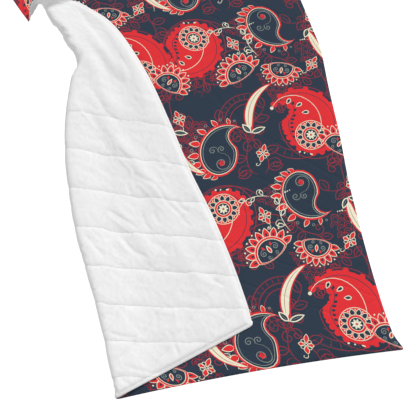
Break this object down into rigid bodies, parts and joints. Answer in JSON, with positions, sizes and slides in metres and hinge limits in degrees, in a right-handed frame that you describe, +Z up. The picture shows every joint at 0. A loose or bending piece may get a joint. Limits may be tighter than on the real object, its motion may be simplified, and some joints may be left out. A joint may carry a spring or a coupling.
{
  "type": "printed quilt",
  "caption": "Light printed quilt laid flat, its left part folded back over the top in a soft roll to show the white diamond-quilted back.",
  "frame": {"origin": "on the surface that the quilt lies on, at the middle of its outline in plan", "axes": "+Z up, +Y from the near hem to the far hem along the quilt's length, +X from the roll towards the right edge"},
  "size_m": [1.3866, 1.9996, 0.0792],
  "materials": {
    "printed_cloth": "matte printed woven cloth, dark blue with red and cream motifs",
    "white_cloth": "matte white brushed cloth, stitched in diamonds"
  },
  "bodies": {
    "root": {"printed_top": "printed_cloth", "quilted_back": "white_cloth"}
  },
  "joints": []
}
